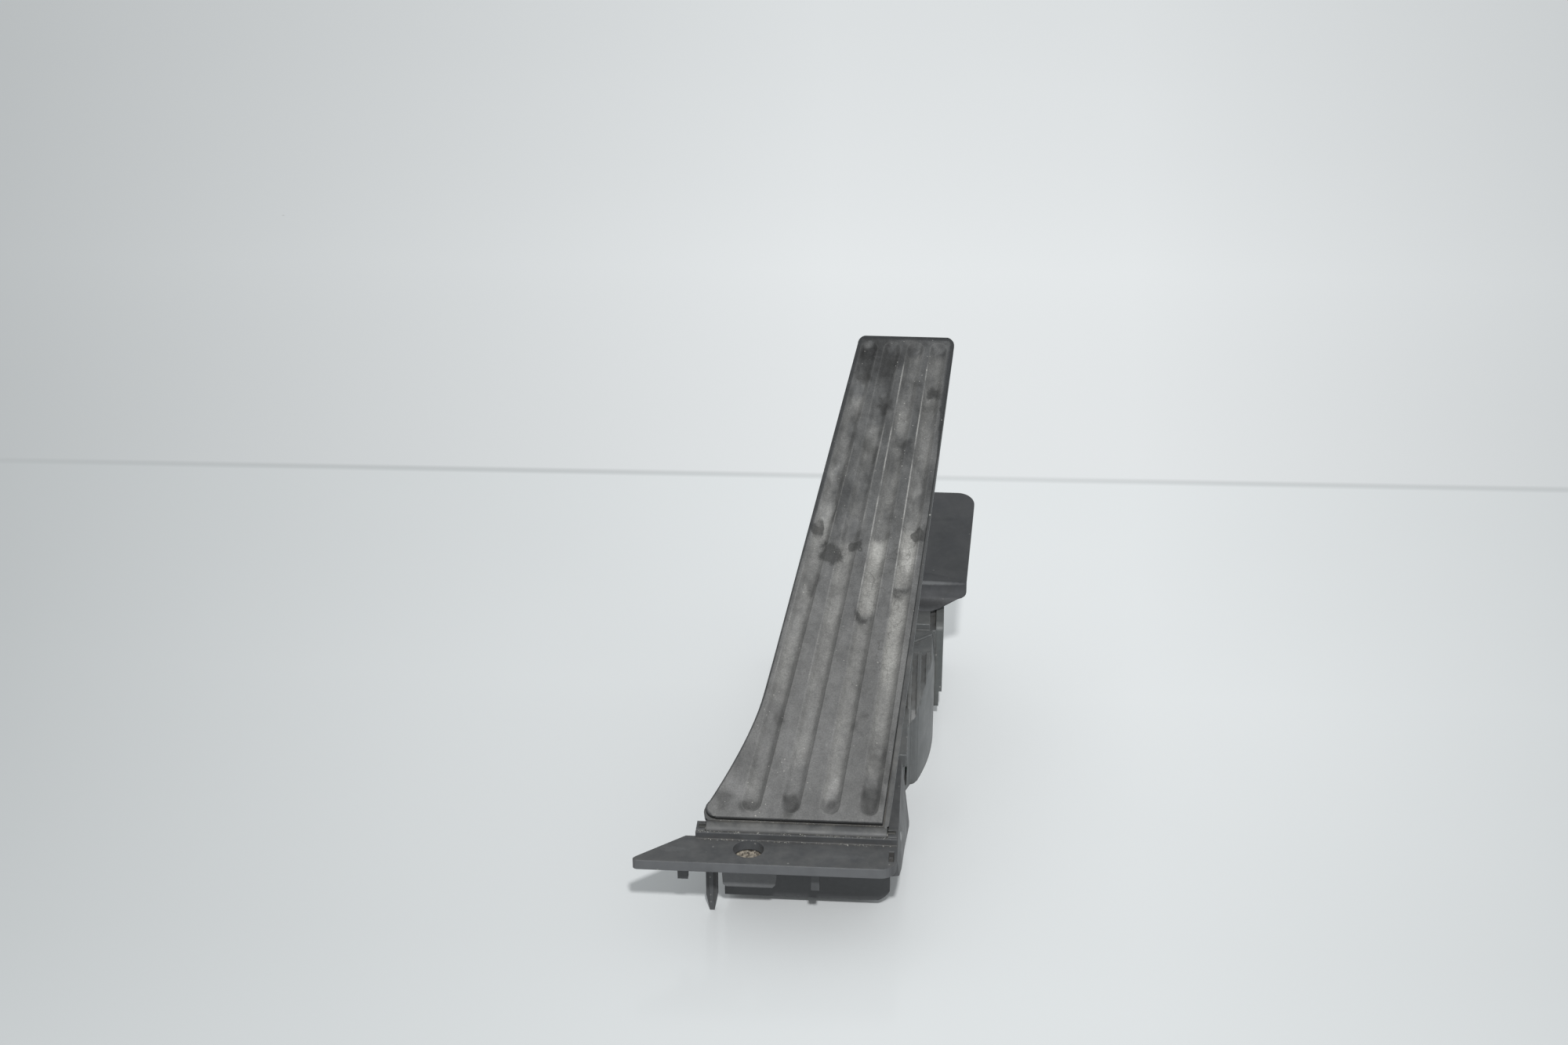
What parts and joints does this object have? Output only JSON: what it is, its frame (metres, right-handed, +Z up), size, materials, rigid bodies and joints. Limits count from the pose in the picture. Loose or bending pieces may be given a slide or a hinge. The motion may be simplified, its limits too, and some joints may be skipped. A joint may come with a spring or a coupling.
{
  "type": "floor-hinged accelerator pedal",
  "caption": "Floor-hinged accelerator pedal: long ribbed plate with a grooved rubber tread, hinged on a moulded base with a drive lever, return springs and a position sensor.",
  "frame": {"origin": "centre of the flange's screw hole, in the flange's top face", "axes": "+Y from the heel end to the pedal's far end, +Z up out of the flange, +X to the right"},
  "size_m": [0.1364, 0.2539, 0.1716],
  "materials": {
    "base_plastic": "satin moulded, scuffed",
    "pedal_plastic": "satin moulded",
    "housing_plastic": "satin moulded",
    "plate_plastic": "smooth satin",
    "lever_plastic": "satin moulded",
    "bush_plastic": "smooth",
    "glide_plastic": "smooth",
    "chip_plastic": "matt",
    "board": "lacquered",
    "tread_rubber": "worn, dusty",
    "rubber_stop": "matt",
    "seal_rubber": "matt",
    "steel": "plain",
    "spring_steel": "drawn wire",
    "magnet": "sintered",
    "terminal_brass": "tinned brass"
  },
  "bodies": {
    "base": {"base_bracket": "base_plastic", "hinge_pin": "steel", "side_plate": "plate_plastic", "side_plate_screws": "steel", "down_stop": "rubber_stop", "up_stop": "rubber_stop", "left_bush": "bush_plastic", "right_bush": "bush_plastic", "outer_spring": "spring_steel", "inner_spring": "spring_steel", "sensor_housing": "housing_plastic", "sensor_board": "board", "sensor_chips": "chip_plastic", "terminal_pins": "terminal_brass", "cover_seal": "seal_rubber", "sensor_cover": "housing_plastic", "cover_screws": "steel"},
    "lever": {"drive_lever": "lever_plastic", "lever_shaft": "steel", "retaining_ring": "steel", "cross_pin": "steel", "glide_heads": "glide_plastic", "rotor": "chip_plastic", "rotor_magnet": "magnet"},
    "pedal": {"pedal_plate": "pedal_plastic", "tread": "tread_rubber", "guide_track": "lever_plastic", "guide_screws": "steel"}
  },
  "joints": [
    {"name": "pedal_hinge", "type": "hinge", "parent": "base", "child": "pedal", "pos_m": [0.0186, 0.0115, 0.0013], "axis": [1, 0, 0], "range_deg": [-16, 0], "stiffness_Nm_per_rad": 12, "springref_deg": 11.46},
    {"name": "lever_pivot", "type": "hinge", "parent": "base", "child": "lever", "pos_m": [0.04, 0.123, -0.0087], "axis": [1, 0, 0], "range_deg": [-47.3, 0.1], "deforming": ["outer_spring", "inner_spring"]}
  ],
  "couplings": [
    {"joint": "lever_pivot", "follows": "pedal_hinge", "ratio": 2.9466}
  ]
}
